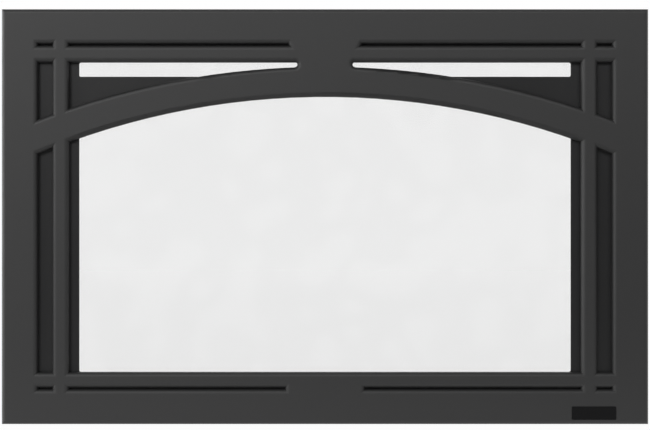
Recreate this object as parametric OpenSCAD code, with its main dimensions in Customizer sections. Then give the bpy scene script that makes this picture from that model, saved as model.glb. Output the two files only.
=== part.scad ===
// Fireplace screen front: a cast face with an arch and keystone over a slotted surround,
// a steel backing plate, a framed wire mesh and a sheet steel frame that hangs on the fireplace.
// Millimetres. X runs to the right, Y from the face back into the fireplace, Z up.
// The origin is at the bottom of the face, midway across its width and its whole depth.

/* [Face] */
// Width of the face
face_w = 1028.7; // [960:0.1:1120]
// Height of the face
face_h = 660.4; // [630:0.1:720]
// Depth of the face casting
face_d = 12; // [10:0.5:16]
// Width of the plain border at each side, from the outer edge to the upright slots
border_w = 50; // [42:0.5:60]
// Height of the plain border above the top slots and below the bottom ones
border_h = 48; // [44:0.5:52]
// Radius of the casting's outer front edge
outer_r = 6.5; // [2:0.5:8]
// Radius of the front edges round every cut-out
edge_r = 7.5; // [4:0.25:8]
// Thickness of the casting's front wall over its rear pockets
wall_t = 5; // [4:0.5:6]
// Rim of solid iron left beside each rear pocket
pocket_rim = 9; // [8.5:0.5:11]

/* [Slots and bars] */
// Width of the upright slots beside the mullions
end_slot_w = 38; // [28:0.5:42]
// Height of the level slots in the top and bottom of the face
level_slot_h = 17.5; // [16.5:0.5:22]
// Flat width of the two mullions
mullion_w = 11.5; // [9:0.5:20]
// Flat height of the bar between the top slots and the opening
top_bar_h = 11.5; // [8:0.5:14]
// Flat height of the bar between the bottom slots and the opening
bottom_bar_h = 9.5; // [8:0.5:20]
// Half the width of the plain panel between the two long bottom slots
bottom_panel_half = 56; // [30:1:120]

/* [Arch and keystone] */
// Radius of the arch's underside
arch_in_r = 1199.5; // [1100:0.5:1400]
// Distance from the top of the face down to the crown of the arch's underside
arch_drop = 131.9; // [126:0.1:145]
// Radius of the arch's top edge
arch_out_r = 1280; // [1150:1:1500]
// Depth of the arch band at its crown
arch_band = 33; // [28:0.5:36]
// Half the width of the keystone where it meets the arch
keystone_half = 32; // [25:0.5:50]
// Slant of the keystone's sides from upright, in degrees
keystone_slant = 23; // [0:1:30]

/* [Backing plate] */
// Thickness of the backing plate
backing_t = 2; // [1.5:0.25:3]
// Margin from the face's outer edge in to the backing plate
backing_margin = 4; // [3:0.5:6]
// Ledge of the backing plate that shows inside each mullion
ledge_side = 22.5; // [8:0.5:26]
// Ledge of the backing plate that shows above the bottom bar
ledge_bottom = 7.5; // [2:0.5:12]
// Ledge of the backing plate that shows below the top bar
ledge_top = 7.5; // [2:0.5:10]
// Height of the two vent openings above the arch
vent_h = 22.5; // [16:0.5:28]
// Half the width of the plate left between the two vent openings
vent_web_half = 30; // [15:1:34]
// Cover of the backing plate behind the arch band
arch_cover = 14.5; // [10:0.5:20]
// Radius of the corners of the backing plate's openings
opening_corner_r = 3; // [1:0.5:6]

/* [Mesh screen] */
// Thickness of the net of wires
mesh_t = 1.2; // [0.8:0.1:2]
// Width of each wire of the net
wire_w = 1.2; // [0.8:0.1:2]
// Width of the hem along the edges of the net
hem_w = 6; // [4:0.5:9]
// How far the mesh reaches past the backing plate's openings
mesh_lap = 9; // [7:0.5:12]
// Number of gaps across the net
gaps_across = 20; // [8:1:20]
// Number of gaps up the net
gaps_up = 15; // [6:1:15]
// Width of the four clamp bars
clamp_w = 22; // [20:0.5:26]
// Thickness of the clamp bars
clamp_t = 1.5; // [1:0.25:2.5]
// Gap between an opening of the backing plate and the clamp bars
clamp_setback = 2; // [1:0.5:4]
// Distance from the outer edge of a clamp bar in to its studs
stud_inset = 6; // [5:0.5:7]
// Diameter of the welded studs
stud_d = 4; // [3:0.5:5]
// Length of the studs behind the backing plate
stud_len = 8; // [7:0.5:12]
// Number of studs along the top and along the bottom clamp bar
studs_across = 6; // [3:1:9]
// Number of studs along each side clamp bar
studs_up = 4; // [3:1:6]
// Width across the flats of the clamp nuts
nut_af = 7; // [6.5:0.5:8]
// Height of the clamp nuts
nut_h = 3.2; // [2.5:0.1:4]
// Diameter of the clamp nuts' flanges
nut_flange_d = 9; // [8:0.5:11]

/* [Rear frame] */
// Depth of the frame rails
rail_d = 30; // [24:0.5:50]
// Thickness of the rails' sheet steel
rail_t = 1.5; // [1:0.25:2.5]
// Inside radius of the bends in the rails
bend_in_r = 1.5; // [0.5:0.25:3]
// Margin from the face's outer edge in to the rails
rail_margin = 6; // [5:0.5:9]
// Width of the rails' front flanges
front_flange_w = 28; // [26:0.5:32]
// Width of the rails' back flanges
back_flange_w = 16; // [12:0.5:20]
// Length of each leg of the corner angles
angle_leg = 42; // [34:1:60]
// Width of the corner angles
angle_w = 20; // [16:0.5:24]
// Thickness of the corner angles
angle_t = 2; // [1.5:0.25:3]
// Distance of the corner rivets from each other
angle_rivet_pitch = 20; // [14:1:24]

/* [Hangers and tabs] */
// Height of the hanger plates
hanger_h = 110; // [90:1:150]
// Distance from the top of the face down to the top of the hangers
hanger_drop = 70; // [60:1:120]
// Thickness of the hanger plates
hanger_t = 3; // [2.5:0.5:5]
// Height of the neck that carries each hook
hook_neck = 12; // [10:1:20]
// Width of the slot between the frame and the hook's nose
hook_slot = 6; // [5:0.5:10]
// Length of the hook's nose below its neck
hook_drop = 16; // [12:1:24]
// Thickness of the hook's nose, front to back
hook_nose = 8; // [6:0.5:12]
// Height of the hook below the top of the hanger
hook_top = 12; // [8:1:30]
// Pitch of the two bolts in each hanger
hanger_bolt_pitch = 60; // [44:1:70]
// Distance from each side of the face in to the middle of the lower tab
tab_inset = 158.75; // [100:0.25:260]
// Width of the lower tabs
tab_w = 44; // [40:1:60]
// Thickness of the lower tabs
tab_t = 2.5; // [2:0.5:4]
// Diameter of the screw hole in each lower tab
tab_hole_d = 7; // [5:0.5:8]
// Height of the screw holes above the edge of the bottom rail's front flange
tab_hole_rise = 6; // [5:0.5:12]
// Height of the lower tabs above the middle of their screw holes
tab_hole_margin = 9; // [7:0.5:16]

/* [Fasteners] */
// Diameter of the frame screws
screw_d = 5; // [4:0.5:5.5]
// Diameter of the frame screws' heads
screw_head_d = 9; // [8:0.5:10]
// Height of the frame screws' heads
screw_head_h = 3; // [2:0.5:4]
// Depth that the frame screws reach into the casting
screw_grip = 6; // [5:0.5:7]
// Diameter of the washers under the frame screws
washer_d = 11; // [10:0.5:12]
// Thickness of the washers
washer_t = 1; // [0.8:0.1:1.5]
// Number of frame screws along the top and along the bottom
screws_across = 5; // [3:1:8]
// Number of frame screws between the corners on each side
screws_up = 3; // [1:1:5]
// Distance from the free edge of a rail's front flange to its screws
screw_edge = 9; // [7:0.5:12]
// Diameter of the bosses behind the casting
boss_d = 14; // [12:0.5:16]
// Diameter of the rivets
rivet_d = 4; // [3:0.5:5]
// Diameter of the rivet heads
rivet_head_d = 7.5; // [6.5:0.5:8]
// Height of the rivet heads
rivet_head_h = 1.6; // [1:0.1:2]
// Diameter of the hanger bolts
bolt_d = 6; // [5:0.5:6]
// Diameter of the hanger bolts' low heads
bolt_head_d = 12; // [10:0.5:14]
// Height of the hanger bolts' low heads
bolt_head_h = 3; // [2:0.25:3.5]
// Width across the flats of the hanger nuts
bolt_nut_af = 10; // [9:0.5:11]
// Height of the hanger nuts
bolt_nut_h = 5; // [4:0.5:6]

/* [Fits] */
// Clearance round a screw, stud, rivet or bolt in its hole, on the diameter
hole_clearance = 0.4; // [0.2:0.05:0.8]
// Clearance round a screw in the casting's tapped hole, on the diameter
tap_clearance = 0.1; // [0.05:0.05:0.2]
// Gap between two mitred rail ends
mitre_gap = 0.3; // [0.2:0.05:0.5]
// Gap between the ends or edges of pieces that lie side by side
side_gap = 0.3; // [0.2:0.05:0.5]
// Clearance round the hook's neck in the rail's notch, on each side
notch_clearance = 0.5; // [0.3:0.1:1]

/* [Hidden] */
$fn = 48;
// Facets of the arch's large circles
arch_fn = 720;
// How far each cutting solid runs past what it cuts
cut = 1;
// Step from the end of a cut-out's rounded edge to its straight wall
wall_draft = 0.05;
// How much further than a vent's own height its round end reaches
end_relief = 0.5;

// Planes from front to back, measured from the front of the face
backing_y = face_d;
mesh_y = backing_y + backing_t;
clamp_y = mesh_y + mesh_t;
back_y = mesh_y + rail_d;
hook_reach = hook_slot + hook_nose;
whole_d = back_y + hook_reach;
front_y = -whole_d / 2;

// Places across and up the face
half_w = face_w / 2;
arch_in_crown = face_h - arch_drop;
slot_out_x = half_w - border_w;
slot_in_x = slot_out_x - end_slot_w;
open_x = slot_in_x - mullion_w;
top_slot_z1 = face_h - border_h;
top_slot_z0 = top_slot_z1 - level_slot_h;
open_top_z = top_slot_z0 - top_bar_h;
bottom_slot_z0 = border_h;
bottom_slot_z1 = bottom_slot_z0 + level_slot_h;
open_bottom_z = bottom_slot_z1 + bottom_bar_h;
arch_out_crown = arch_in_crown + arch_band;
arch_in_z = arch_in_crown - arch_in_r;
arch_out_z = arch_out_crown - arch_out_r;
vent_half_h = (open_top_z - arch_out_crown) / 2;
vent_end_z = arch_out_crown + vent_half_h;
vent_end_r = vent_half_h + end_relief;
vent_end_x = keystone_half + vent_half_h * tan(keystone_slant) + vent_end_r;
cutter_size = 3 * face_w;

// The backing plate's openings
plate_open_x = open_x - ledge_side;
plate_open_z0 = open_bottom_z + ledge_bottom;
plate_arch_r = arch_in_r + arch_cover;
vent_z1 = open_top_z - ledge_top;
vent_z0 = vent_z1 - vent_h;

// The mesh and its clamps
mesh_half_w = plate_open_x + mesh_lap;
mesh_z0 = plate_open_z0 - mesh_lap;
mesh_z1 = vent_z1 + mesh_lap;
clamp_in_x = plate_open_x + clamp_setback;
clamp_out_x = clamp_in_x + clamp_w;
clamp_low_z1 = plate_open_z0 - clamp_setback;
clamp_low_z0 = clamp_low_z1 - clamp_w;
clamp_high_z0 = vent_z1 + clamp_setback;
clamp_high_z1 = clamp_high_z0 + clamp_w;
stud_x = clamp_out_x - stud_inset;
stud_low_z = clamp_low_z0 + stud_inset;
stud_high_z = clamp_high_z1 - stud_inset;

// The rear frame
bend_r = bend_in_r + rail_t;
rail_x = half_w - rail_margin;
rail_z0 = rail_margin;
rail_z1 = face_h - rail_margin;
screw_line = rail_margin + front_flange_w - screw_edge;
angle_y = mesh_y + rail_t + (rail_d - 2 * rail_t - angle_w) / 2;
hanger_x = rail_x - rail_t - hanger_t;
hanger_z1 = face_h - hanger_drop;
hanger_z0 = hanger_z1 - hanger_h;
hook_z1 = hanger_z1 - hook_top;
hook_z0 = hook_z1 - hook_neck;
bolt_y = mesh_y + rail_d / 2;
bolt_z_mid = hanger_z0 + hanger_h / 2;
flange_clear_y = back_y - rail_t;
tab_x = half_w - tab_inset;
tab_hole_z = rail_z0 + front_flange_w + tab_hole_rise;
tab_z1 = tab_hole_z + tab_hole_margin;
tab_rivet_z = rail_z0 + back_flange_w / 2;
tab_rivet_x = tab_w / 4;

// Screw places along the border, as [x, z]
screw_points = concat(
    [for (i = [0 : screws_across - 1]) for (z = [screw_line, face_h - screw_line])
        [(i / (screws_across - 1) - 0.5) * 2 * (half_w - screw_line), z]],
    [for (i = [1 : screws_up]) for (s = [-1, 1])
        [s * (half_w - screw_line), screw_line + i * (face_h - 2 * screw_line) / (screws_up + 1)]]
);

// Stud places on each clamp bar, as [x, z]
studs_top = [for (i = [0 : studs_across - 1])
    [(i / (studs_across - 1) - 0.5) * 2 * (stud_x - clamp_w), stud_high_z]];
studs_bottom = [for (p = studs_top) [p[0], stud_low_z]];
side_stud_z0 = clamp_low_z1 + clamp_w;
side_stud_z1 = clamp_high_z0 - clamp_w;
studs_left = [for (i = [0 : studs_up - 1])
    [-stud_x, side_stud_z0 + i * (side_stud_z1 - side_stud_z0) / (studs_up - 1)]];
studs_right = [for (p = studs_left) [-p[0], p[1]]];
all_studs = concat(studs_top, studs_bottom, studs_left, studs_right);

// Rivet places on each leg of a corner angle, measured from the corner
angle_rivets = [angle_leg - angle_rivet_pitch - rivet_head_d, angle_leg - rivet_head_d];

// A round bar along +Y with its front end at the given place
module y_cylinder(x, y, z, d, len) {
    translate([x, y, z]) rotate([-90, 0, 0]) cylinder(d = d, h = len);
}

// A hexagon along +Y, for nuts
module y_hexagon(x, y, z, across_flats, len) {
    translate([x, y, z]) rotate([-90, 0, 0]) cylinder(d = across_flats / cos(30), h = len, $fn = 6);
}

// The section of a cut-out from p0 to p1 along one axis; its second axis is depth.
// The rounded lips of the casting stand inside the stated edges.
module cutout_section(p0, p1) {
    lip = edge_r - wall_draft;
    translate([p0 + lip, -cut]) square([p1 - p0 - 2 * lip, face_d + 2 * cut]);
    difference() {
        translate([p0, -cut]) square([p1 - p0, edge_r + cut]);
        translate([p0, edge_r]) circle(r = edge_r);
        translate([p1, edge_r]) circle(r = edge_r);
    }
}

// A cut-out between two uprights, endless in height
module cut_across(x0, x1) {
    translate([0, 0, -cutter_size / 2]) linear_extrude(cutter_size) cutout_section(x0, x1);
}

// A cut-out between two levels, endless in width
module cut_up(z0, z1) {
    translate([cutter_size / 2, 0, 0]) rotate([0, -90, 0]) linear_extrude(cutter_size)
        cutout_section(z0, z1);
}

// A cut-out with four straight sides
module cut_rect(x0, x1, z0, z1) {
    intersection() {
        cut_across(x0, x1);
        cut_up(z0, z1);
    }
}

// Everything under the arch
module under_arch() {
    translate([0, 0, arch_in_z]) rotate([-90, 0, 0]) rotate_extrude($fn = arch_fn)
        intersection() {
            cutout_section(-arch_in_r, arch_in_r);
            translate([0, -cut]) square([arch_in_r, face_d + 2 * cut]);
        }
}

// Everything above the arch
module above_arch() {
    translate([0, 0, arch_out_z]) rotate([-90, 0, 0]) rotate_extrude($fn = arch_fn)
        intersection() {
            cutout_section(arch_out_r, 3 * arch_out_r);
            translate([arch_out_r, -cut]) square([arch_out_r / 2, face_d + 2 * cut]);
        }
}

// The round end of the left vent beside the keystone, and everything to the left of its middle
module vent_end() {
    translate([-vent_end_x, 0, vent_end_z]) rotate([-90, 0, 0]) rotate_extrude() intersection() {
        cutout_section(-vent_end_r, vent_end_r);
        translate([0, -cut]) square([vent_end_r, face_d + 2 * cut]);
    }
    translate([-vent_end_x - face_w, -cut, 0]) cube([face_w, face_d + 2 * cut, face_h]);
}

// Everything to the left of the keystone's slanted left side
module left_of_keystone() {
    translate([-keystone_half, 0, arch_out_crown]) rotate([0, -keystone_slant, 0])
        cut_across(-2 * half_w, 0);
}

// The five cut-outs in the left half of the face above the bottom bar
module left_cutouts() {
    cut_rect(-slot_out_x, -slot_in_x, top_slot_z0, top_slot_z1);
    cut_rect(-slot_out_x, -slot_in_x, bottom_slot_z0, bottom_slot_z1);
    cut_rect(-open_x, -bottom_panel_half, bottom_slot_z0, bottom_slot_z1);
    intersection() {
        cut_rect(-open_x, half_w, top_slot_z0, top_slot_z1);
        left_of_keystone();
    }
    intersection() {
        cut_rect(-open_x, half_w, open_bottom_z, open_top_z);
        above_arch();
        vent_end();
    }
    intersection() {
        cut_rect(-slot_out_x, -slot_in_x, open_bottom_z, open_top_z);
        above_arch();
    }
    intersection() {
        cut_rect(-slot_out_x, -slot_in_x, open_bottom_z, open_top_z);
        under_arch();
    }
}

// The outline of the casting's border pockets
module border_pocket_outline() {
    difference() {
        translate([-half_w + pocket_rim, pocket_rim])
            square([face_w - 2 * pocket_rim, face_h - 2 * pocket_rim]);
        translate([-slot_out_x - pocket_rim + edge_r, bottom_slot_z0 - pocket_rim + edge_r])
            square([2 * (slot_out_x + pocket_rim - edge_r),
                top_slot_z1 - bottom_slot_z0 + 2 * (pocket_rim - edge_r)]);
        for (p = screw_points) translate(p) circle(d = boss_d);
    }
}

// The outline of the pocket along the back of the arch
module arch_pocket_outline() {
    intersection() {
        difference() {
            translate([0, arch_out_z]) circle(r = arch_out_r + edge_r - pocket_rim, $fn = arch_fn);
            translate([0, arch_in_z]) circle(r = arch_in_r - edge_r + pocket_rim, $fn = arch_fn);
        }
        translate([-open_x, 0]) square([2 * open_x, face_h]);
    }
}

// Turns an outline drawn in width and height into a solid that runs back from y
module plate(y, t) {
    translate([0, y + t, 0]) rotate([90, 0, 0]) linear_extrude(t) children();
}

module face_block() {
    intersection() {
        linear_extrude(face_h) difference() {
            translate([-half_w, 0]) square([face_w, face_d]);
            edge_trim(-half_w, 1);
            edge_trim(half_w, -1);
        }
        translate([half_w, 0, 0]) rotate([0, -90, 0]) linear_extrude(face_w) difference() {
            square([face_h, face_d]);
            edge_trim(0, 1);
            edge_trim(face_h, -1);
        }
    }
}

// What the rounding takes off an outer front edge
module edge_trim(edge, side) {
    translate([edge, 0]) scale([side, 1]) difference() {
        translate([-cut, -cut]) square([outer_r + cut, outer_r + cut]);
        translate([outer_r, outer_r]) circle(r = outer_r);
    }
}

module face_casting() {
    color([0.075, 0.075, 0.08]) translate([0, front_y, 0]) difference() {
        face_block();
        left_cutouts();
        mirror([1, 0, 0]) left_cutouts();
        intersection() {
            cut_rect(-open_x, open_x, open_bottom_z, open_top_z);
            under_arch();
        }
        plate(wall_t, face_d - wall_t + cut) border_pocket_outline();
        plate(wall_t, face_d - wall_t + cut) arch_pocket_outline();
        for (p = screw_points)
            y_cylinder(p[0], face_d - screw_grip, p[1], screw_d + tap_clearance, screw_grip + cut);
    }
}

// A rectangle with rounded corners, between two corners of its outline
module round_rect(x0, x1, z0, z1, r) {
    translate([x0 + r, z0]) square([x1 - x0 - 2 * r, z1 - z0]);
    translate([x0, z0 + r]) square([x1 - x0, z1 - z0 - 2 * r]);
    for (x = [x0 + r, x1 - r]) for (z = [z0 + r, z1 - r]) translate([x, z]) circle(r = r);
}

module backing_plate() {
    color([0.05, 0.05, 0.055]) translate([0, front_y, 0]) difference() {
        plate(backing_y, backing_t) difference() {
            round_rect(-half_w + backing_margin, half_w - backing_margin,
                backing_margin, face_h - backing_margin, opening_corner_r);
            intersection() {
                round_rect(-plate_open_x, plate_open_x, plate_open_z0, face_h, opening_corner_r);
                translate([0, arch_in_z]) circle(r = plate_arch_r, $fn = arch_fn);
            }
            round_rect(-plate_open_x, -vent_web_half, vent_z0, vent_z1, opening_corner_r);
            round_rect(vent_web_half, plate_open_x, vent_z0, vent_z1, opening_corner_r);
        }
        for (p = screw_points)
            y_cylinder(p[0], backing_y - cut, p[1], screw_d + hole_clearance, backing_t + 2 * cut);
    }
}

// The wire net with its hem; the spaces between the wires are even
module mesh_screen() {
    net_w = 2 * (mesh_half_w - hem_w);
    net_h = mesh_z1 - mesh_z0 - 2 * hem_w;
    gap_w = (net_w - (gaps_across - 1) * wire_w) / gaps_across;
    gap_h = (net_h - (gaps_up - 1) * wire_w) / gaps_up;
    color([0.1, 0.1, 0.105]) translate([0, front_y, 0]) plate(mesh_y, mesh_t) difference() {
        translate([-mesh_half_w, mesh_z0]) square([2 * mesh_half_w, mesh_z1 - mesh_z0]);
        for (i = [0 : gaps_across - 1]) for (j = [0 : gaps_up - 1])
            translate([-net_w / 2 + i * (gap_w + wire_w), mesh_z0 + hem_w + j * (gap_h + wire_w)])
                square([gap_w, gap_h]);
    }
}

// One clamp bar: a flat strip with a rebate that takes the mesh's hem, and stud holes.
// The bar's inner part lies on the mesh and its outer part on the backing plate.
module clamp_bar(x0, x1, z0, z1, studs) {
    color([0.05, 0.05, 0.055]) translate([0, front_y, 0]) difference() {
        translate([x0, mesh_y, z0]) cube([x1 - x0, mesh_t + clamp_t, z1 - z0]);
        translate([-mesh_half_w - side_gap, mesh_y - cut, mesh_z0 - side_gap])
            cube([2 * (mesh_half_w + side_gap), mesh_t + cut, mesh_z1 - mesh_z0 + 2 * side_gap]);
        for (p = studs)
            y_cylinder(p[0], mesh_y - cut, p[1], stud_d + hole_clearance, mesh_t + clamp_t + 2 * cut);
    }
}

module mesh_clamp_top() {
    clamp_bar(-clamp_out_x, clamp_out_x, clamp_high_z0, clamp_high_z1, studs_top);
}

module mesh_clamp_bottom() {
    clamp_bar(-clamp_out_x, clamp_out_x, clamp_low_z0, clamp_low_z1, studs_bottom);
}

module mesh_clamp_left() {
    clamp_bar(-clamp_out_x, -clamp_in_x, clamp_low_z1 + side_gap, clamp_high_z0 - side_gap, studs_left);
}

module mesh_clamp_right() {
    clamp_bar(clamp_in_x, clamp_out_x, clamp_low_z1 + side_gap, clamp_high_z0 - side_gap, studs_right);
}

// Studs welded to the back of the backing plate
module mesh_studs() {
    color([0.6, 0.6, 0.62]) translate([0, front_y, 0])
        for (p = all_studs) y_cylinder(p[0], mesh_y, p[1], stud_d, stud_len);
}

module mesh_nuts() {
    nut_y = clamp_y + clamp_t;
    color([0.6, 0.6, 0.62]) translate([0, front_y, 0]) for (p = all_studs) difference() {
        union() {
            y_cylinder(p[0], nut_y, p[1], nut_flange_d, nut_h / 3);
            y_hexagon(p[0], nut_y, p[1], nut_af, nut_h);
        }
        y_cylinder(p[0], nut_y - cut, p[1], stud_d + tap_clearance, nut_h + 2 * cut);
    }
}

// The section of a rail: a channel with its web outside, drawn as [inward, depth]
module rail_section() {
    translate([0, bend_r]) square([rail_t, rail_d - 2 * bend_r]);
    translate([bend_r, 0]) square([front_flange_w - bend_r, rail_t]);
    translate([bend_r, rail_d - rail_t]) square([back_flange_w - bend_r, rail_t]);
    bend_section();
    translate([0, rail_d]) mirror([0, 1]) bend_section();
}

// A quarter bend of the sheet, from the web to a flange
module bend_section() {
    intersection() {
        square([bend_r, bend_r]);
        translate([bend_r, bend_r]) difference() {
            circle(r = bend_r);
            circle(r = bend_in_r);
        }
    }
}

// A rail along X with its web at height z = 0 and its flanges above it, mitred at both ends
module level_rail() {
    length = 2 * rail_x;
    reach = front_flange_w + cut;
    intersection() {
        translate([length / 2, mesh_y, 0]) rotate([0, -90, 0]) linear_extrude(length) rail_section();
        plate(mesh_y - cut, rail_d + 2 * cut)
            polygon([[-rail_x + mitre_gap, 0], [rail_x - mitre_gap, 0],
                [rail_x - mitre_gap - reach, reach], [-rail_x + mitre_gap + reach, reach]]);
    }
}

// A rail along Z with its web at x = 0 and its flanges to the right, mitred at both ends
module upright_rail() {
    length = rail_z1 - rail_z0;
    reach = front_flange_w + cut;
    intersection() {
        translate([0, mesh_y, 0]) linear_extrude(length) rail_section();
        plate(mesh_y - cut, rail_d + 2 * cut)
            polygon([[0, 0], [0, length], [reach, length - reach], [reach, reach]]);
    }
}

// The holes that the frame screws pass through
module screw_holes() {
    for (p = screw_points)
        y_cylinder(p[0], mesh_y - cut, p[1], screw_d + hole_clearance, rail_t + 2 * cut);
}

// A rivet hole along X, through a side rail and a corner angle
module x_rivet_hole(x, y, z, len) {
    translate([x, y, z]) rotate([0, 90, 0])
        cylinder(d = rivet_d + hole_clearance, h = len, center = true);
}

// A rivet hole along Z, through the top or bottom rail and a corner angle
module z_rivet_hole(x, y, z, len) {
    translate([x, y, z]) cylinder(d = rivet_d + hole_clearance, h = len, center = true);
}

// Rivet holes through the outer wall of the top or the bottom rail
module level_web_holes(z) {
    for (s = [-1, 1]) for (a = angle_rivets)
        z_rivet_hole(s * (rail_x - a), bolt_y, z, 4 * (rail_t + angle_t));
}

// Rivet holes through the outer wall of a side rail
module upright_web_holes(x) {
    for (a = angle_rivets) for (z = [rail_z0 + a, rail_z1 - a])
        x_rivet_hole(x, bolt_y, z, 4 * (rail_t + angle_t));
}

module frame_rail_bottom() {
    color([0.05, 0.05, 0.055]) translate([0, front_y, 0]) difference() {
        translate([0, 0, rail_z0]) level_rail();
        screw_holes();
        level_web_holes(rail_z0);
        tab_rivet_holes();
    }
}

module frame_rail_top() {
    color([0.05, 0.05, 0.055]) translate([0, front_y, 0]) difference() {
        translate([0, 0, rail_z1]) mirror([0, 0, 1]) level_rail();
        screw_holes();
        level_web_holes(rail_z1);
    }
}

// A side rail drawn on the left, with the notch for its hook and the hanger's bolt holes
module side_rail() {
    difference() {
        translate([-rail_x, 0, rail_z0]) upright_rail();
        screw_holes();
        upright_web_holes(-rail_x);
        hanger_bolt_holes();
        translate([-hanger_x - hanger_t - notch_clearance / 2, back_y - bend_r - cut,
            hook_z0 - hook_drop - notch_clearance])
            cube([hanger_t + 1.5 * notch_clearance, bend_r + 2 * cut,
                hook_neck + hook_drop + 2 * notch_clearance]);
    }
}

module frame_rail_left() {
    color([0.05, 0.05, 0.055]) translate([0, front_y, 0]) side_rail();
}

module frame_rail_right() {
    color([0.05, 0.05, 0.055]) translate([0, front_y, 0]) mirror([1, 0, 0]) side_rail();
}

module frame_washers() {
    color([0.6, 0.6, 0.62]) translate([0, front_y, 0]) for (p = screw_points) difference() {
        y_cylinder(p[0], mesh_y + rail_t, p[1], washer_d, washer_t);
        y_cylinder(p[0], mesh_y + rail_t - cut, p[1], screw_d + hole_clearance, washer_t + 2 * cut);
    }
}

// Screws that hold the rails and the backing plate to the casting's bosses
module frame_screws() {
    head_y = mesh_y + rail_t + washer_t;
    shank = head_y - (face_d - screw_grip) - side_gap;
    color([0.6, 0.6, 0.62]) translate([0, front_y, 0]) for (p = screw_points) {
        y_cylinder(p[0], head_y - shank, p[1], screw_d, shank);
        y_cylinder(p[0], head_y, p[1], screw_head_d, screw_head_h);
    }
}

// An angle in the bottom left corner of the frame, riveted to both outer walls
module corner_angle() {
    inner_x = -rail_x + rail_t;
    inner_z = rail_z0 + rail_t;
    difference() {
        translate([inner_x, angle_y, inner_z]) cube([angle_leg, angle_w, angle_leg]);
        translate([inner_x + angle_t, angle_y - cut, inner_z + angle_t])
            cube([angle_leg, angle_w + 2 * cut, angle_leg]);
        level_web_holes(rail_z0);
        upright_web_holes(-rail_x);
    }
}

module corner_angle_bottom_left() {
    color([0.45, 0.45, 0.47]) translate([0, front_y, 0]) corner_angle();
}

module corner_angle_bottom_right() {
    color([0.45, 0.45, 0.47]) translate([0, front_y, 0]) mirror([1, 0, 0]) corner_angle();
}

module corner_angle_top_left() {
    color([0.45, 0.45, 0.47]) translate([0, front_y, face_h]) mirror([0, 0, 1]) corner_angle();
}

module corner_angle_top_right() {
    color([0.45, 0.45, 0.47]) translate([0, front_y, face_h])
        mirror([0, 0, 1]) mirror([1, 0, 0]) corner_angle();
}

// A rivet along +Z whose sheets lie between z = 0 and z = grip
module rivet(grip) {
    cylinder(d = rivet_d, h = grip);
    translate([0, 0, -rivet_head_h]) cylinder(d = rivet_head_d, h = rivet_head_h);
    translate([0, 0, grip]) cylinder(d = rivet_head_d, h = rivet_head_h);
}

module corner_rivets() {
    grip = rail_t + angle_t;
    color([0.6, 0.6, 0.62]) translate([0, front_y, 0]) for (s = [-1, 1]) for (a = angle_rivets) {
        translate([s * (rail_x - a), bolt_y, rail_z0]) rivet(grip);
        translate([s * (rail_x - a), bolt_y, rail_z1 - grip]) rivet(grip);
        for (z = [rail_z0 + a, rail_z1 - a])
            translate([s * rail_x, bolt_y, z]) rotate([0, -90 * s, 0]) rivet(grip);
    }
}

// The bolt holes of the left hanger, through its plate and the side rail
module hanger_bolt_holes() {
    for (s = [-1, 1]) translate([-rail_x, bolt_y, bolt_z_mid + s * hanger_bolt_pitch / 2])
        rotate([0, 90, 0])
            cylinder(d = bolt_d + hole_clearance, h = 4 * (rail_t + hanger_t), center = true);
}

// The hanger's outline, drawn as [depth, height]
module hanger_outline() {
    plate_y0 = mesh_y + bend_r + side_gap;
    plate_y1 = back_y - bend_r - side_gap;
    translate([plate_y0, hanger_z0]) square([plate_y1 - plate_y0, hanger_h]);
    translate([plate_y1 - cut, hook_z0]) square([whole_d - plate_y1 + cut - hook_nose / 2, hook_neck]);
    translate([whole_d - hook_nose, hook_z0 - hook_drop + hook_nose / 2])
        square([hook_nose, hook_drop + hook_neck - hook_nose]);
    translate([whole_d - hook_nose / 2, hook_z0 - hook_drop + hook_nose / 2]) circle(d = hook_nose);
    translate([whole_d - hook_nose / 2, hook_z1 - hook_nose / 2]) circle(d = hook_nose);
}

// The left hanger, inside the left rail
module hanger() {
    difference() {
        translate([-hanger_x - hanger_t, 0, 0]) rotate([90, 0, 90])
            linear_extrude(hanger_t) hanger_outline();
        hanger_bolt_holes();
    }
}

module hanger_left() {
    color([0.3, 0.3, 0.31]) translate([0, front_y, 0]) hanger();
}

module hanger_right() {
    color([0.3, 0.3, 0.31]) translate([0, front_y, 0]) mirror([1, 0, 0]) hanger();
}

// Bolts with low heads outside the side rails
module hanger_bolts() {
    shank = rail_t + hanger_t + bolt_nut_h + cut;
    color([0.6, 0.6, 0.62]) translate([0, front_y, 0]) for (s = [-1, 1]) for (u = [-1, 1])
        translate([s * rail_x, bolt_y, bolt_z_mid + u * hanger_bolt_pitch / 2])
            rotate([0, -90 * s, 0]) {
                cylinder(d = bolt_d, h = shank);
                translate([0, 0, -bolt_head_h]) cylinder(d = bolt_head_d, h = bolt_head_h);
            }
}

module hanger_nuts() {
    color([0.6, 0.6, 0.62]) translate([0, front_y, 0]) for (s = [-1, 1]) for (u = [-1, 1])
        translate([s * rail_x, bolt_y, bolt_z_mid + u * hanger_bolt_pitch / 2])
            rotate([0, -90 * s, 0]) translate([0, 0, rail_t + hanger_t]) difference() {
                cylinder(d = bolt_nut_af / cos(30), h = bolt_nut_h, $fn = 6);
                translate([0, 0, -cut]) cylinder(d = bolt_d + tap_clearance, h = bolt_nut_h + 2 * cut);
            }
}

// Rivet holes through the bottom rail's back flange and the lower tabs
module tab_rivet_holes() {
    for (s = [-1, 1]) for (u = [-1, 1])
        y_cylinder(s * tab_x + u * tab_rivet_x, flange_clear_y - tab_t - cut, tab_rivet_z,
            rivet_d + hole_clearance, tab_t + rail_t + 2 * cut);
}

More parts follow.
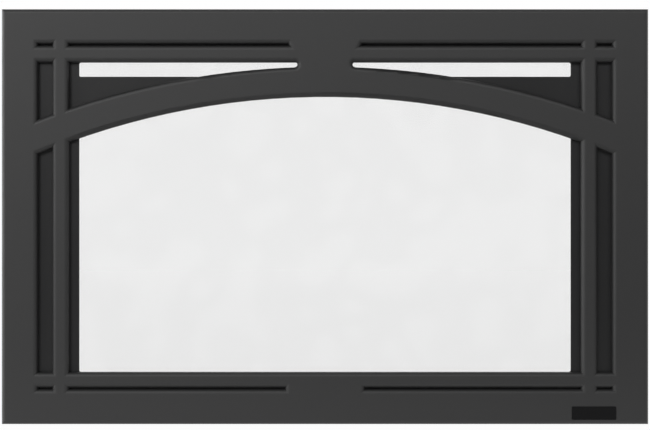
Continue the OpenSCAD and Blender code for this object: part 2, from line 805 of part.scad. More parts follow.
// A tab behind the face that takes one screw into the fireplace; side is -1 or 1
module lower_tab(side) {
    x = side * tab_x;
    color([0.05, 0.05, 0.055]) translate([0, front_y, 0]) difference() {
        plate(flange_clear_y - tab_t, tab_t)
            round_rect(x - tab_w / 2, x + tab_w / 2, rail_z0 + bend_r + side_gap, tab_z1, opening_corner_r);
        tab_rivet_holes();
        y_cylinder(x, flange_clear_y - tab_t - cut, tab_hole_z, tab_hole_d, tab_t + 2 * cut);
    }
}

module lower_tab_left() {
    lower_tab(-1);
}

module lower_tab_right() {
    lower_tab(1);
}

module tab_rivets() {
    color([0.6, 0.6, 0.62]) translate([0, front_y, 0]) for (s = [-1, 1]) for (u = [-1, 1])
        translate([s * tab_x + u * tab_rivet_x, flange_clear_y - tab_t, tab_rivet_z])
            rotate([-90, 0, 0]) tab_rivet();
}

// A rivet that is flush with the back of the frame
module tab_rivet() {
    cylinder(d = rivet_d, h = tab_t + rail_t);
    translate([0, 0, -rivet_head_h]) cylinder(d = rivet_head_d, h = rivet_head_h);
}

face_casting();
backing_plate();
mesh_screen();
mesh_clamp_top();
mesh_clamp_bottom();
mesh_clamp_left();
mesh_clamp_right();
mesh_studs();
mesh_nuts();
frame_rail_top();
frame_rail_bottom();
frame_rail_left();
frame_rail_right();
frame_screws();
frame_washers();
corner_angle_top_left();
corner_angle_top_right();
corner_angle_bottom_left();
corner_angle_bottom_right();
corner_rivets();
hanger_left();
hanger_right();
hanger_bolts();
hanger_nuts();
lower_tab_left();
lower_tab_right();
tab_rivets();
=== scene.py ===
import bpy
import bmesh
from math import cos, radians
from mathutils import Matrix, Vector


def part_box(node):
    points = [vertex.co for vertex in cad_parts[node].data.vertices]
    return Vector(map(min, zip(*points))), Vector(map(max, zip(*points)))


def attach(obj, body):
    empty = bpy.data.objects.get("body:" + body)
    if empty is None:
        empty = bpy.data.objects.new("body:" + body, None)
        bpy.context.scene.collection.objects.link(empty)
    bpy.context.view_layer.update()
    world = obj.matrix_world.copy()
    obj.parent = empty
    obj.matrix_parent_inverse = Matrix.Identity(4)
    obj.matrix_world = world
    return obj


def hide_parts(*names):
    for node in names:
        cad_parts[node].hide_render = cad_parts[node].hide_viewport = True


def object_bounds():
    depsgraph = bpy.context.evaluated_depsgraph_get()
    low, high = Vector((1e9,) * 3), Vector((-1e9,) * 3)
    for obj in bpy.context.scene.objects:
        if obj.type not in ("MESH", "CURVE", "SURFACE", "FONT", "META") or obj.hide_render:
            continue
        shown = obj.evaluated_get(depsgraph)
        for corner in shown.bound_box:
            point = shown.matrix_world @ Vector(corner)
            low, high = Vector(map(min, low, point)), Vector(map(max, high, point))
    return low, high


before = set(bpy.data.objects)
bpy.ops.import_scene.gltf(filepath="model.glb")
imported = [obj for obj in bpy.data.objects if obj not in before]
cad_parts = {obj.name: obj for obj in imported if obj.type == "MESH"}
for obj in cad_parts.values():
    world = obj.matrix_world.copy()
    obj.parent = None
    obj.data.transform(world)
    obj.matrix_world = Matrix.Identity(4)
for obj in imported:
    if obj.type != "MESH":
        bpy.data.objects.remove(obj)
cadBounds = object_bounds()

mm = 0.001

# Camera: the photo is taken square on: 650 px across cover 1032.5 mm at the front of the face
camera = {
    "distance": 2.5,            # from the front of the face
    "faceY": -0.029,
    "mmPerPixel": 1.5884,
    "imageWidth": 650,
    "sensor": 36.0,
    "x": 0.0,
    "z": 0.3328,
}
bpy.ops.object.camera_add(location=(camera["x"], camera["faceY"] - camera["distance"], camera["z"]),
                          rotation=(radians(90), 0, 0))
cam = bpy.context.object
cam.name = "photoCamera"
cam.data.sensor_width = camera["sensor"]
cam.data.lens = camera["sensor"] * camera["distance"] / (camera["imageWidth"] * camera["mmPerPixel"] * mm)
cam.data.clip_start = 0.05
cam.data.clip_end = 60
bpy.context.scene.camera = cam
print("camera placed")


def srgb(hexCode):
    # "#rrggbb" to linear RGBA
    parts = [int(hexCode[i:i + 2], 16) / 255 for i in (1, 3, 5)]
    return [c / 12.92 if c <= 0.04045 else ((c + 0.055) / 1.055) ** 2.4 for c in parts] + [1.0]


def addNode(tree, kind, settings=None, links=None):
    # settings: socket names or node properties; links: {input socket: (node, output socket)}
    node = tree.nodes.new(kind)
    for key, value in (settings or {}).items():
        if isinstance(key, str) and key in node.bl_rna.properties.keys():
            setattr(node, key, value)
    for key, value in (settings or {}).items():
        if not (isinstance(key, str) and key in node.bl_rna.properties.keys()):
            node.inputs[key].default_value = value
    for key, (source, output) in (links or {}).items():
        tree.links.new(source.outputs[output], node.inputs[key])
    return node


def newMaterial(name):
    mat = bpy.data.materials.new(name)
    mat.use_nodes = True
    tree = mat.node_tree
    tree.nodes.clear()
    where = addNode(tree, "ShaderNodeTexCoord")
    out = addNode(tree, "ShaderNodeOutputMaterial")
    return mat, tree, where, out


def makePaint(name, look):
    # Sprayed high-temperature paint: a fine orange peel over the metal's own surface,
    # with faint clouds in tone and gloss where the spray overlapped.
    mat, tree, where, out = newMaterial(name)
    clouds = addNode(tree, "ShaderNodeTexNoise",
                     {"Scale": 1 / (look["cloudMm"] * mm), "Detail": 3.0},
                     {"Vector": (where, "Object")})
    tone = addNode(tree, "ShaderNodeMix",
                   {"data_type": "RGBA", 6: srgb(look["dark"]), 7: srgb(look["light"])},
                   {0: (clouds, "Fac")})
    gloss = addNode(tree, "ShaderNodeMapRange", {"To Min": look["rough"][0], "To Max": look["rough"][1]},
                    {"Value": (clouds, "Fac")})
    grain = addNode(tree, "ShaderNodeTexNoise",
                    {"Scale": 1 / (look["grainMm"] * mm), "Detail": 4.0, "Roughness": 0.6},
                    {"Vector": (where, "Object")})
    peel = addNode(tree, "ShaderNodeTexNoise", {"Scale": 1 / (look["peelMm"] * mm), "Detail": 2.0},
                   {"Vector": (where, "Object")})
    grainBump = addNode(tree, "ShaderNodeBump",
                        {"Strength": look["bump"], "Distance": look["grainDepthMm"] * mm},
                        {"Height": (grain, "Fac")})
    peelBump = addNode(tree, "ShaderNodeBump",
                       {"Strength": look["bump"], "Distance": look["peelDepthMm"] * mm},
                       {"Height": (peel, "Fac"), "Normal": (grainBump, "Normal")})
    paint = addNode(tree, "ShaderNodeBsdfPrincipled", {"Specular IOR Level": look["specular"]},
                    {"Base Color": (tone, 2), "Roughness": (gloss, "Result"), "Normal": (peelBump, "Normal")})
    tree.links.new(paint.outputs["BSDF"], out.inputs["Surface"])
    return mat


# Satin black stove paint on grey cast iron: the sand-cast skin shows through as a fine, soft grain
satinIronPaint = makePaint("satinStovePaintOnCastIron", {
    "dark": "#121213", "light": "#141414", "cloudMm": 60, "rough": (0.56, 0.62), "specular": 0.62,
    "grainMm": 0.9, "grainDepthMm": 0.03, "peelMm": 3.5, "peelDepthMm": 0.05, "bump": 0.5,
})
# The same paint on rolled sheet steel: smoother, only the orange peel shows, so its sheen is narrower
satinSteelPaint = makePaint("satinStovePaintOnSheetSteel", {
    "dark": "#0f0f10", "light": "#111112", "cloudMm": 90, "rough": (0.42, 0.48), "specular": 0.4,
    "grainMm": 0.5, "grainDepthMm": 0.01, "peelMm": 2.5, "peelDepthMm": 0.04, "bump": 0.5,
})
# Drawn steel wire, dipped in matt black paint: a soft dark grey without a clear highlight
wirePaint = makePaint("mattPaintOnWovenSteelWire", {
    "dark": "#2a2a2a", "light": "#353535", "cloudMm": 30, "rough": (0.55, 0.7), "specular": 0.3,
    "grainMm": 0.3, "grainDepthMm": 0.005, "peelMm": 1.0, "peelDepthMm": 0.01, "bump": 0.4,
})
# Dull black enamel on a small steel plate: it gives back little light, so it looks darker than the cast face
plateEnamel = makePaint("dullBlackEnamelOnSteelPlate", {
    "dark": "#0d0d0e", "light": "#0f0f10", "cloudMm": 12, "rough": (0.55, 0.6), "specular": 0.12,
    "grainMm": 0.4, "grainDepthMm": 0.001, "peelMm": 1.6, "peelDepthMm": 0.002, "bump": 0.2,
})


def makeMetal(name, look):
    # Zinc on steel: crystal patches of slightly different grey, each with its own gloss
    mat, tree, where, out = newMaterial(name)
    spangle = addNode(tree, "ShaderNodeTexVoronoi", {"Scale": 1 / (look["patchMm"] * mm)},
                      {"Vector": (where, "Object")})
    tint = addNode(tree, "ShaderNodeMix",
                   {"data_type": "RGBA", 6: srgb(look["dark"]), 7: srgb(look["light"])},
                   {0: (spangle, "Color")})
    gloss = addNode(tree, "ShaderNodeMapRange", {"To Min": look["rough"][0], "To Max": look["rough"][1]},
                    {"Value": (spangle, "Color")})
    haze = addNode(tree, "ShaderNodeTexNoise", {"Scale": 1 / (look["hazeMm"] * mm), "Detail": 4.0},
                   {"Vector": (where, "Object")})
    bump = addNode(tree, "ShaderNodeBump", {"Strength": 0.4, "Distance": look["depthMm"] * mm},
                   {"Height": (haze, "Fac")})
    metal = addNode(tree, "ShaderNodeBsdfPrincipled", {"Metallic": 1.0},
                    {"Base Color": (tint, 2), "Roughness": (gloss, "Result"), "Normal": (bump, "Normal")})
    tree.links.new(metal.outputs["BSDF"], out.inputs["Surface"])
    return mat


# Hot-dip galvanised sheet: spangle of about 8 mm, dull where the zinc has aged
galvanisedSteel = makeMetal("hotDipGalvanisedSheetSteel", {
    "dark": "#8f9294", "light": "#b4b7b9", "patchMm": 8, "rough": (0.34, 0.55),
    "hazeMm": 2.5, "depthMm": 0.02,
})
# Electroplated zinc on turned fasteners: bright, slightly blue, no spangle to speak of
zincPlate = makeMetal("zincPlatedSteelFasteners", {
    "dark": "#a9adb0", "light": "#c3c6ca", "patchMm": 2.0, "rough": (0.25, 0.36),
    "hazeMm": 0.8, "depthMm": 0.01,
})

finishes = {
    satinIronPaint: ["face_casting"],
    satinSteelPaint: ["backing_plate", "mesh_clamp_top", "mesh_clamp_bottom", "mesh_clamp_left",
                      "mesh_clamp_right", "frame_rail_top", "frame_rail_bottom", "frame_rail_left",
                      "frame_rail_right", "lower_tab_left", "lower_tab_right"],
    wirePaint: ["mesh_screen"],
    galvanisedSteel: ["corner_angle_top_left", "corner_angle_top_right", "corner_angle_bottom_left",
                      "corner_angle_bottom_right", "hanger_left", "hanger_right"],
    zincPlate: ["mesh_studs", "mesh_nuts", "frame_screws", "frame_washers", "corner_rivets",
                "hanger_bolts", "hanger_nuts", "tab_rivets"],
}
for mat, nodes in finishes.items():
    for name in nodes:
        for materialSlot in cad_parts[name].material_slots:
            materialSlot.material = mat
print("paint and plating on", sum(len(nodes) for nodes in finishes.values()), "nodes")


def nothingSelected():
    # before each primitive, so that no operator reaches another piece
    if bpy.context.object and bpy.context.object.mode == "EDIT":
        bpy.ops.object.mode_set(mode="OBJECT")
    bpy.ops.object.select_all(action="DESELECT")


def onlySelect(obj):
    bpy.ops.object.select_all(action="DESELECT")
    obj.select_set(True)
    bpy.context.view_layer.objects.active = obj


def addModifier(obj, kind, settings):
    onlySelect(obj)
    mod = obj.modifiers.new(kind.title(), kind)
    for key, value in settings.items():
        setattr(mod, key, value)
    bpy.ops.object.modifier_apply(modifier=mod.name)


def settle(obj):
    # place, turn and size go into the mesh, as on the CAD nodes
    onlySelect(obj)
    bpy.ops.object.transform_apply(location=True, rotation=True, scale=True)


def finishPiece(obj, name, mat, nodes=()):
    settle(obj)
    obj.name = name
    obj.data.name = name
    obj.data.materials.clear()
    obj.data.materials.append(mat)
    if nodes:
        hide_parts(*nodes)
    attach(obj, "root")


# Woven mesh: a twill, where each wire goes over two and under two
meshLow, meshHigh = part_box("mesh_screen")
weave = {
    "wire": 0.16 * mm,      # wire thickness
    "pitch": 1.598 * mm,    # from wire to wire, one pixel at this depth: a wider one shows as a grid.
                            # A fifth of the area is wire, as the photo's pale grey asks
    "sides": 3,             # a wire is a tenth of a pixel wide
    "hem": 6 * mm,
    "hemThickRound": 0.45 * mm,
    "margin": 4.8 * mm,     # least way from the outermost wires to the edge of the mesh
    "parts": 3,             # pieces for each direction of the wires
    "wander": 0.5 * mm,     # wires never lie quite evenly: the most that they could stray
    "wanderLength": 75 * mm,
}
midY = (meshLow.y + meshHigh.y) / 2
centreX = (meshLow.x + meshHigh.x) / 2
centreZ = (meshLow.z + meshHigh.z) / 2
pitch = weave["pitch"]
nAcross = 4 * int((meshHigh.x - meshLow.x - 2 * weave["margin"]) / pitch / 4)    # upright wires
nUp = 4 * int((meshHigh.z - meshLow.z - 2 * weave["margin"]) / pitch / 4)        # level wires


def makeWire(name, crossings):
    # One wire along +X from the origin; a straight rise or fall takes it past two cross wires
    nothingSelected()
    bpy.ops.mesh.primitive_circle_add(vertices=weave["sides"], radius=weave["wire"] / 2,
                                      location=(0, -weave["wire"], 0), rotation=(0, radians(90), 0))
    wire = bpy.context.object
    settle(wire)
    bpy.ops.object.mode_set(mode="EDIT")
    for step in (2, -2):
        bpy.ops.mesh.extrude_region_move(
            TRANSFORM_OT_translate={"value": (2 * pitch, step * weave["wire"], 0)})
    bpy.ops.object.mode_set(mode="OBJECT")
    addModifier(wire, "ARRAY", {"count": crossings // 4, "use_relative_offset": False,
                                "use_constant_offset": True, "constant_offset_displace": (4 * pitch, 0, 0),
                                "use_merge_vertices": True, "merge_threshold": weave["wire"] / 20})
    bpy.ops.object.mode_set(mode="EDIT")
    bpy.ops.mesh.select_all(action="DESELECT")
    bpy.ops.mesh.select_mode(type="EDGE")
    bpy.ops.mesh.select_non_manifold()
    bpy.ops.mesh.edge_face_add()
    bpy.ops.mesh.select_all(action="SELECT")
    bpy.ops.mesh.normals_make_consistent(inside=False)
    bpy.ops.object.mode_set(mode="OBJECT")
    wire.name = name
    return wire


def fourWires(wire):
    # each next wire has its rise one crossing further on
    copies = []
    for step in (1, 2, 3):
        onlySelect(wire)
        bpy.ops.object.duplicate()
        copy = bpy.context.object
        copy.location = (step * pitch, 0, step * pitch)
        settle(copy)
        copies.append(copy)
    onlySelect(wire)
    for copy in copies:
        copy.select_set(True)
    bpy.ops.object.join()
    return bpy.context.object


stray = {}
for axis, length in (("X", 1.0), ("Z", 0.8)):
    stray[axis] = bpy.data.textures.new("weaveStray" + axis, "CLOUDS")
    stray[axis].noise_scale = weave["wanderLength"] * length
    stray[axis].noise_depth = 1

print("weaving", nAcross, "by", nUp, "wires")
firstX = centreX - (nAcross - 1) / 2 * pitch
firstZ = centreZ - (nUp - 1) / 2 * pitch
families = {
    # the starts are set so that wherever a level wire runs behind, the upright one runs in front
    "meshLevelWires": {"crossings": nAcross, "wires": nUp, "turn": 0, "stack": (0, 0, 4 * pitch),
                       "start": (firstX - 1.5 * pitch, midY, firstZ)},
    "meshUprightWires": {"crossings": nUp + 4, "wires": nAcross, "turn": radians(-90),
                         "stack": (4 * pitch, 0, 0),
                         "start": (firstX, midY, firstZ - 4.5 * pitch)},
}
for name, family in families.items():
    groups = family["wires"] // 4
    for part in range(weave["parts"]):
        first = part * groups // weave["parts"]
        last = (part + 1) * groups // weave["parts"]
        wires = makeWire(name + "ABC"[part], family["crossings"])
        wires.rotation_euler = (0, family["turn"], 0)
        settle(wires)
        wires = fourWires(wires)
        addModifier(wires, "ARRAY", {"count": last - first, "use_relative_offset": False,
                                     "use_constant_offset": True,
                                     "constant_offset_displace": family["stack"]})
        wires.location = Vector(family["start"]) + first * Vector(family["stack"])
        settle(wires)
        for axis in ("X", "Z"):
            addModifier(wires, "DISPLACE", {"texture": stray[axis], "texture_coords": "GLOBAL",
                                            "direction": axis, "strength": weave["wander"],
                                            "mid_level": 0.5})
        finishPiece(wires, wires.name, wirePaint)
        print(wires.name, len(wires.data.polygons), "faces")

# The folded hem that the clamp bars grip
nothingSelected()
bpy.ops.mesh.primitive_plane_add(size=1, location=(centreX, midY, centreZ), rotation=(radians(90), 0, 0))
hem = bpy.context.object
hem.scale = (meshHigh.x - meshLow.x, meshHigh.z - meshLow.z, 1)
settle(hem)
bpy.ops.object.mode_set(mode="EDIT")
bpy.ops.mesh.select_all(action="SELECT")
bpy.ops.mesh.inset(thickness=weave["hem"], depth=0)
bpy.ops.mesh.delete(type="FACE")
bpy.ops.object.mode_set(mode="OBJECT")
addModifier(hem, "SOLIDIFY", {"thickness": meshHigh.y - meshLow.y, "offset": 0,
                              "use_even_offset": True})
addModifier(hem, "BEVEL", {"width": weave["hemThickRound"], "segments": 3, "limit_method": "ANGLE"})
finishPiece(hem, "meshHem", wirePaint, ["mesh_screen"])
print("mesh and hem made")


# Bare plate on the border, bottom right
plate = {
    "width": 70.5 * mm, "height": 21 * mm, "thick": 0.8 * mm,
    "x": 427.3 * mm, "z": 18.1 * mm,
    "corner": 1.5 * mm, "cornerSegments": 6,
    "rim": 1.2 * mm, "rimDrop": 0.2 * mm, "rimSlope": 0.3 * mm,
    "edge": 0.15 * mm,
    "smooth": 20,    # degrees, less than the rim's slope, so that the face stays flat
}
nothingSelected()
bpy.ops.mesh.primitive_cube_add(
    size=1, location=(plate["x"], camera["faceY"] - plate["thick"] / 2, plate["z"]))
blank = bpy.context.object
blank.scale = (plate["width"], plate["thick"], plate["height"])
settle(blank)
bpy.ops.object.mode_set(mode="EDIT")
bpy.ops.mesh.select_mode(type="EDGE")
bpy.ops.mesh.select_all(action="DESELECT")
shape = bmesh.from_edit_mesh(blank.data)
for edge in shape.edges:
    edge.select = abs(edge.verts[0].co.y - edge.verts[1].co.y) > plate["thick"] / 2
bmesh.update_edit_mesh(blank.data)
bpy.ops.mesh.bevel(offset=plate["corner"], segments=plate["cornerSegments"])
bpy.ops.mesh.select_mode(type="FACE")
bpy.ops.mesh.select_all(action="DESELECT")
shape = bmesh.from_edit_mesh(blank.data)
for face in shape.faces:
    face.select = face.normal.y < -0.9
bmesh.update_edit_mesh(blank.data)
bpy.ops.mesh.inset(thickness=plate["rim"])
bpy.ops.mesh.inset(thickness=plate["rimSlope"], depth=-plate["rimDrop"])
bpy.ops.object.mode_set(mode="OBJECT")
addModifier(blank, "BEVEL", {"width": plate["edge"], "segments": 2, "limit_method": "ANGLE",
                             "angle_limit": radians(50)})
finishPiece(blank, "barePlate", plateEnamel)
onlySelect(blank)
bpy.ops.object.shade_smooth_by_angle(angle=radians(plate["smooth"]))
print("bare plate made")


def placesOf(nodeName):
    # the low and the high corner of every loose solid in a CAD node
    shape = bmesh.new()
    shape.from_mesh(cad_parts[nodeName].data)
    bmesh.ops.remove_doubles(shape, verts=shape.verts, dist=0.001 * mm)
    waiting = set(shape.verts)
    boxes = []
    while waiting:
        first = waiting.pop()
        island, queue = [first], [first]
        while queue:
            for edge in queue.pop().link_edges:
                for vert in edge.verts:
                    if vert in waiting:
                        waiting.remove(vert)
                        island.append(vert)
                        queue.append(vert)
        boxes.append((Vector([min(v.co[i] for v in island) for i in range(3)]),
                      Vector([max(v.co[i] for v in island) for i in range(3)])))
    shape.free()
    return sorted(boxes, key=lambda box: tuple(round(c, 5) for c in box[0]))


# The fasteners are modelled in millimetres, standing on their bearing face at the origin, head up
def roundBar(radius, bottom, top, sides=32):
    nothingSelected()
    bpy.ops.mesh.primitive_cylinder_add(vertices=sides, radius=radius, depth=top - bottom,
                                        location=(0, 0, (bottom + top) / 2))
    bar = bpy.context.object
    settle(bar)
    return bar


def selectFaces(obj, test):
    # edit mode with the faces whose middle and normal pass the test
    onlySelect(obj)
    bpy.ops.object.mode_set(mode="EDIT")
    bpy.ops.mesh.select_mode(type="FACE")
    bpy.ops.mesh.select_all(action="DESELECT")
    shape = bmesh.from_edit_mesh(obj.data)
    for face in shape.faces:
        face.select = test(face.calc_center_median(), face.normal)
    bmesh.update_edit_mesh(obj.data)


def bevelLevel(obj, height, width, segments):
    # rounds or chamfers the rim of edges that lie at one height
    onlySelect(obj)
    bpy.ops.object.mode_set(mode="EDIT")
    bpy.ops.mesh.select_mode(type="EDGE")
    bpy.ops.mesh.select_all(action="DESELECT")
    shape = bmesh.from_edit_mesh(obj.data)
    for edge in shape.edges:
        edge.select = all(abs(vert.co.z - height) < 0.001 for vert in edge.verts)
    bmesh.update_edit_mesh(obj.data)
    bpy.ops.mesh.bevel(offset=width, segments=segments)
    bpy.ops.object.mode_set(mode="OBJECT")


def combine(obj, tool, operation):
    addModifier(obj, "BOOLEAN", {"object": tool, "operation": operation, "solver": "EXACT"})
    onlySelect(tool)
    bpy.ops.object.delete()


def addShank(obj, radius, length, chamfer):
    # pulls the shank down out of the bearing face
    selectFaces(obj, lambda middle, normal: normal.z < -0.9 and middle.z < 0.001)
    outer = max(vert.co.xy.length for vert in obj.data.vertices)
    bpy.ops.mesh.inset(thickness=outer - radius)
    bpy.ops.mesh.extrude_region_move(TRANSFORM_OT_translate={"value": (0, 0, -length)})
    bpy.ops.object.mode_set(mode="OBJECT")
    bevelLevel(obj, -length, chamfer, 1)


def placeCopies(model, name, nodeName, mat, facing, headHeight):
    # one copy for each solid of the node; facing gives the way that its head looks
    copies = []
    for low, high in placesOf(nodeName):
        up = facing(low, high)
        side = Vector((0, 0, 1)) if abs(up.x) > 0.5 else Vector((1, 0, 0))
        reach = sum(abs(up[i]) * (high[i] - low[i]) / 2 for i in range(3))
        onlySelect(model)
        bpy.ops.object.duplicate()
        copy = bpy.context.object
        copy.location = (low + high) / 2 + up * (reach - headHeight * mm)
        copy.rotation_euler = Matrix((side, up.cross(side), up)).transposed().to_euler()
        copy.scale = (mm, mm, mm)
        settle(copy)
        copies.append(copy)
    onlySelect(model)
    bpy.ops.object.delete()
    onlySelect(copies[0])
    for copy in copies:
        copy.select_set(True)
    bpy.ops.object.join()
    finishPiece(copies[0], name, mat, [nodeName])
    onlySelect(copies[0])
    bpy.ops.object.shade_smooth_by_angle(angle=radians(32))
    print(name, "placed", len(copies), "times")


def backwards(low, high):
    return Vector((0, 1, 0))


def forwards(low, high):
    return Vector((0, -1, 0))


def outwards(low, high):
    # along the axis that differs from the other two, away from the middle of the frame
    size = high - low
    middle = (low + high) / 2 - Vector((0, 0, frameMiddleZ))
    axis = 0 if abs(size.y - size.z) < 0.2 * mm else 2
    way = Vector((0, 0, 0))
    way[axis] = 1 if middle[axis] > 0 else -1
    return way


def sideways(low, high):
    return Vector((1, 0, 0)) if low.x > 0 else Vector((-1, 0, 0))


def inwards(low, high):
    return -sideways(low, high)


frameMiddleZ = (cadBounds[0][2] + cadBounds[1][2]) / 2

# Pan head screws with a cross recess, under the rails' front flanges
screw = {"head": 9, "headHeight": 3, "dome": 1.8, "shank": 5, "chamfer": 0.5,
         "cross": 4.8, "blade": 0.9, "deep": 1.7, "taper": 0.45}
low, high = placesOf("frame_screws")[0]
screwModel = roundBar(screw["head"] / 2, 0, screw["headHeight"], 40)
bevelLevel(screwModel, screw["headHeight"], screw["dome"], 6)
for turn in (0, 90):
    nothingSelected()
    bpy.ops.mesh.primitive_cube_add(size=1, location=(0, 0, screw["headHeight"]),
                                    rotation=(0, 0, radians(turn)))
    blade = bpy.context.object
    blade.scale = (screw["cross"], screw["blade"], 2 * screw["deep"])
    settle(blade)
    selectFaces(blade, lambda middle, normal: normal.z < -0.9)
    bpy.ops.transform.resize(value=(screw["taper"], screw["taper"], 1))
    bpy.ops.object.mode_set(mode="OBJECT")
    combine(screwModel, blade, "DIFFERENCE")
addShank(screwModel, screw["shank"] / 2, (high.y - low.y) / mm - screw["headHeight"], screw["chamfer"])
placeCopies(screwModel, "frameScrews", "frame_screws", zincPlate, backwards, screw["headHeight"])

# Weld studs; the thread is drawn as rings, since at 0.7 mm a helix looks the same
stud = {"width": 4, "pitch": 0.7, "thread": 0.35, "chamfer": 0.3}
low, high = placesOf("mesh_studs")[0]
studLength = (high.y - low.y) / mm
turns = int(studLength / stud["pitch"]) - 1
studModel = roundBar(stud["width"] / 2, 0, studLength - turns * stud["pitch"], 20)
selectFaces(studModel, lambda middle, normal: normal.z > 0.9)
crest, root = stud["width"] / 2, stud["width"] / 2 - stud["thread"]
for turn in range(turns):
    for size in (root / crest, crest / root):
        bpy.ops.mesh.extrude_region_move(TRANSFORM_OT_translate={"value": (0, 0, stud["pitch"] / 2)})
        bpy.ops.transform.resize(value=(size, size, 1))
bpy.ops.object.mode_set(mode="OBJECT")
bevelLevel(studModel, studLength, stud["chamfer"], 1)
placeCopies(studModel, "meshStuds", "mesh_studs", zincPlate, backwards, studLength)


def hexNut(nut):
    # hexagon with its corners turned down to a cone at the ends, as all nuts have
    corners = nut["flats"] / 2 / cos(radians(30))
    body = roundBar(corners, 0, nut["height"], 6)
    turned = roundBar(corners + 0.05, -0.5 if nut["flange"] else 0, nut["height"], 48)
    bevelLevel(turned, nut["height"], nut["chamfer"], 1)
    if not nut["flange"]:
        bevelLevel(turned, 0, nut["chamfer"], 1)
    combine(body, turned, "INTERSECT")
    if nut["flange"]:
        flange = roundBar(nut["flange"] / 2, 0, nut["flangeHeight"], 40)
        bevelLevel(flange, nut["flangeHeight"], nut["flangeHeight"] * 0.6, 3)
        combine(body, flange, "UNION")
    bore = roundBar(nut["bore"] / 2, -1, nut["height"] + 1, 24)
    combine(body, bore, "DIFFERENCE")
    bevelLevel(body, nut["height"], 0.12, 1)
    return body


# Flange nuts on the studs
clampNut = {"flats": 7, "height": 3.2, "chamfer": 0.5, "flange": 9, "flangeHeight": 0.9, "bore": 4.1}
placeCopies(hexNut(clampNut), "clampNuts", "mesh_nuts", zincPlate, backwards, clampNut["height"])

# Plain hexagon nuts inside the side rails, on the hanger bolts
hangerNut = {"flats": 10, "height": 5, "chamfer": 0.7, "flange": 0, "bore": 6.1}
placeCopies(hexNut(hangerNut), "hangerNuts", "hanger_nuts", zincPlate, inwards, hangerNut["height"])

# Button head bolts with a hexagon socket
bolt = {"head": 12, "headHeight": 3, "dome": 2.2, "shank": 6, "chamfer": 0.6, "socket": 4, "deep": 1.8}
low, high = placesOf("hanger_bolts")[0]
boltModel = roundBar(bolt["head"] / 2, 0, bolt["headHeight"], 40)
bevelLevel(boltModel, bolt["headHeight"], bolt["dome"], 7)
socket = roundBar(bolt["socket"] / 2 / cos(radians(30)), bolt["headHeight"] - bolt["deep"],
                  bolt["headHeight"] + 1, 6)
combine(boltModel, socket, "DIFFERENCE")
addShank(boltModel, bolt["shank"] / 2, (high.x - low.x) / mm - bolt["headHeight"], bolt["chamfer"])
placeCopies(boltModel, "hangerBolts", "hanger_bolts", zincPlate, sideways, bolt["headHeight"])


def blindRivet(rivet, grip, tail):
    # domed head with the broken-off pin in its middle; the far end is a plain bulge, or flush
    body = roundBar(rivet["head"] / 2, 0, rivet["headHeight"], 32)
    dome = rivet["headHeight"] * 0.9
    bevelLevel(body, rivet["headHeight"], dome, 6)
    selectFaces(body, lambda middle, normal: normal.z > 0.99)
    top = rivet["head"] / 2 - dome
    bpy.ops.mesh.inset(thickness=top - rivet["pin"] / 2)
    bpy.ops.mesh.extrude_region_move(TRANSFORM_OT_translate={"value": (0, 0, -rivet["deep"])})
    bpy.ops.mesh.inset(thickness=rivet["gap"])
    bpy.ops.mesh.extrude_region_move(TRANSFORM_OT_translate={"value": (0, 0, rivet["deep"] * 0.5)})
    bpy.ops.object.mode_set(mode="OBJECT")
    addShank(body, rivet["shank"] / 2, grip, 0.05)
    if tail:
        bulge = roundBar(rivet["head"] / 2, -grip - tail, -grip, 32)
        bevelLevel(bulge, -grip - tail, tail * 0.9, 5)
        combine(body, bulge, "UNION")
    return body


# Blind rivets through the corner angles, and through the lower tabs
rivet = {"head": 7.5, "headHeight": 1.6, "shank": 4, "pin": 2.2, "gap": 0.15, "deep": 0.7}
low, high = placesOf("corner_rivets")[0]
rivetLength = min(high - low) / mm
cornerRivet = blindRivet(rivet, rivetLength - 2 * rivet["headHeight"], rivet["headHeight"])
placeCopies(cornerRivet, "cornerRivets", "corner_rivets", zincPlate, outwards, rivet["headHeight"])
low, high = placesOf("tab_rivets")[0]
tabRivet = blindRivet(rivet, (high.y - low.y) / mm - rivet["headHeight"], 0)
placeCopies(tabRivet, "tabRivets", "tab_rivets", zincPlate, forwards, rivet["headHeight"])


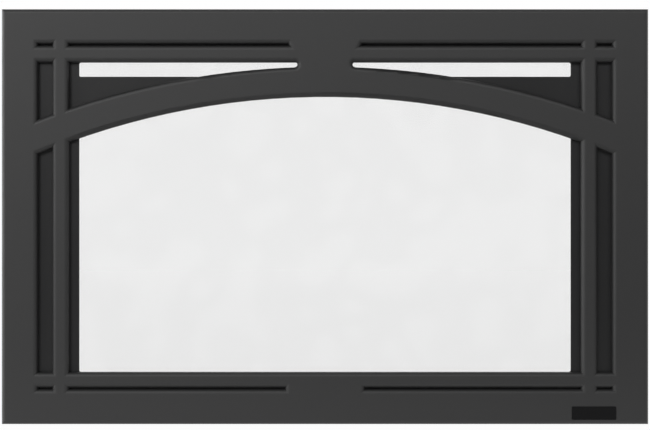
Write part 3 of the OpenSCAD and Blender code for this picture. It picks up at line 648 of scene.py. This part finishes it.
def makeGround(name, look):
    # Seamless white paper: camera, mirror and glass rays see it near white, and it keeps part of the shadow
    mat, tree, where, out = newMaterial(name)
    rays = addNode(tree, "ShaderNodeLightPath")
    camGlossy = addNode(tree, "ShaderNodeMath", {"operation": "MAXIMUM"},
                        {0: (rays, "Is Camera Ray"), 1: (rays, "Is Glossy Ray")})
    seen = addNode(tree, "ShaderNodeMath", {"operation": "MAXIMUM"},
                   {0: (camGlossy, 0), 1: (rays, "Is Transmission Ray")})
    # painted glow: the white emission is strongest under and behind the object and fades out towards the
    # camera, where the grey paper under the lamps shows
    apart = addNode(tree, "ShaderNodeSeparateXYZ", {}, {"Vector": (where, "Object")})
    near = addNode(tree, "ShaderNodeMapRange",
                   {"interpolation_type": "SMOOTHSTEP", "From Min": look["paintedGlowFrom"],
                    "From Max": look["paintedGlowTo"]}, {"Value": (apart, "Y")})
    # and meets the backdrop without a line
    far = addNode(tree, "ShaderNodeMapRange",
                  {"interpolation_type": "SMOOTHSTEP", "From Min": look["farFrom"],
                   "From Max": look["farTo"], "To Min": look["white"]}, {"Value": (apart, "Y")})
    white = addNode(tree, "ShaderNodeMath", {"operation": "MULTIPLY"},
                    {0: (near, "Result"), 1: (far, "Result")})
    share = addNode(tree, "ShaderNodeMath", {"operation": "MULTIPLY"}, {0: (seen, 0), 1: (white, 0)})
    fibre = addNode(tree, "ShaderNodeTexNoise", {"Scale": 1 / (look["fibreMm"] * mm), "Detail": 3.0},
                    {"Vector": (where, "Object")})
    tone = addNode(tree, "ShaderNodeMix",
                   {"data_type": "RGBA", 6: srgb(look["dark"]), 7: srgb(look["light"])},
                   {0: (fibre, "Fac")})
    paper = addNode(tree, "ShaderNodeBsdfDiffuse", {}, {"Color": (tone, 2)})
    bright = addNode(tree, "ShaderNodeEmission", {"Color": (1, 1, 1, 1), "Strength": 1.0})
    both = addNode(tree, "ShaderNodeMixShader", {}, {0: (share, 0), 1: (paper, 0), 2: (bright, 0)})
    tree.links.new(both.outputs[0], out.inputs["Surface"])
    return mat


nothingSelected()
bpy.ops.mesh.primitive_plane_add(size=16, location=(0, 0, 0))
floor = bpy.context.object
floor.name = "studioFloor"
floor.data.materials.append(makeGround("seamlessPaper", {
    "white": 0.95,      # the rest is paper, which keeps the object's shadow
    # the painted glow on the floor fades in along Y between the first pair of values, and evens out to full
    # white towards the backdrop between the second pair
    "fibreMm": 4, "dark": "#c6c6c5", "light": "#cacac9", "paintedGlowFrom": -0.6, "paintedGlowTo": -0.095,
    "farFrom": 0.6, "farTo": 7}))
floor.data.materials[0].cycles.emission_sampling = "NONE"

studio = {
    "ambient": 0.18,    # soft light from all round
    "front": 0.05,      # how bright the room behind the camera looks in reflections
    "leftPanel": {"at": (-2.49, -3.83, 2.36), "size": (1.5, 1.5), "power": 75},
    "farLeftPanel": {"at": (-4.49, -2.09, 1.03), "size": (1.5, 1.5), "power": 84},
    "topPanel": {"at": (0, -1.75, 1.75), "size": (3.0, 0.6), "power": 22.5},
    "rightPanel": {"at": (2.89, -3.7, 2.04), "size": (1.5, 1.5), "power": 26},
    # just behind the plane of the face: of the front they light only the rounded outer edges
    "leftRimPanel": {"at": (-3.88, 0.68, 1.02), "size": (1.5, 1.5), "power": 78},
    "rightRimPanel": {"at": (3.88, 0.68, 1.02), "size": (1.5, 1.5), "power": 30},
    "backPanel": {"at": (0.4, 3.2, 1.8), "size": (2.4, 1.4), "power": 20},
}
aim = Vector((0, 0, 0.33))
for name, lamp in studio.items():
    if name in ("ambient", "front"):
        continue
    nothingSelected()
    bpy.ops.object.light_add(type="AREA", location=lamp["at"])
    light = bpy.context.object
    light.name = name
    light.data.shape = "RECTANGLE"
    light.data.size, light.data.size_y = lamp["size"]
    light.data.energy = lamp["power"]
    light.rotation_euler = (aim - light.location).to_track_quat("-Z", "Y").to_euler()

world = bpy.context.scene.world or bpy.data.worlds.new("studio")
bpy.context.scene.world = world
world.use_nodes = True
tree = world.node_tree
tree.nodes.clear()
rays = addNode(tree, "ShaderNodeLightPath")
camGlossy = addNode(tree, "ShaderNodeMath", {"operation": "MAXIMUM"},
                    {0: (rays, "Is Camera Ray"), 1: (rays, "Is Glossy Ray")})
seen = addNode(tree, "ShaderNodeMath", {"operation": "MAXIMUM"},
               {0: (camGlossy, 0), 1: (rays, "Is Transmission Ray")})
where = addNode(tree, "ShaderNodeTexCoord")
apart = addNode(tree, "ShaderNodeSeparateXYZ", {}, {"Vector": (where, "Generated")})
backWall = addNode(tree, "ShaderNodeMapRange",
                   {"interpolation_type": "SMOOTHSTEP", "From Min": -0.2, "From Max": 0.35,
                    "To Min": studio["front"], "To Max": 1.0}, {"Value": (apart, "Y")})
strength = addNode(tree, "ShaderNodeMix", {"data_type": "FLOAT", 2: studio["ambient"]},
                   {0: (seen, 0), 3: (backWall, "Result")})
sky = addNode(tree, "ShaderNodeBackground", {"Color": (1, 1, 1, 1)}, {"Strength": (strength, 0)})
worldOut = addNode(tree, "ShaderNodeOutputWorld", {}, {"Surface": (sky, 0)})
print("studio lit")

bpy.context.scene.view_settings.view_transform = "Standard"
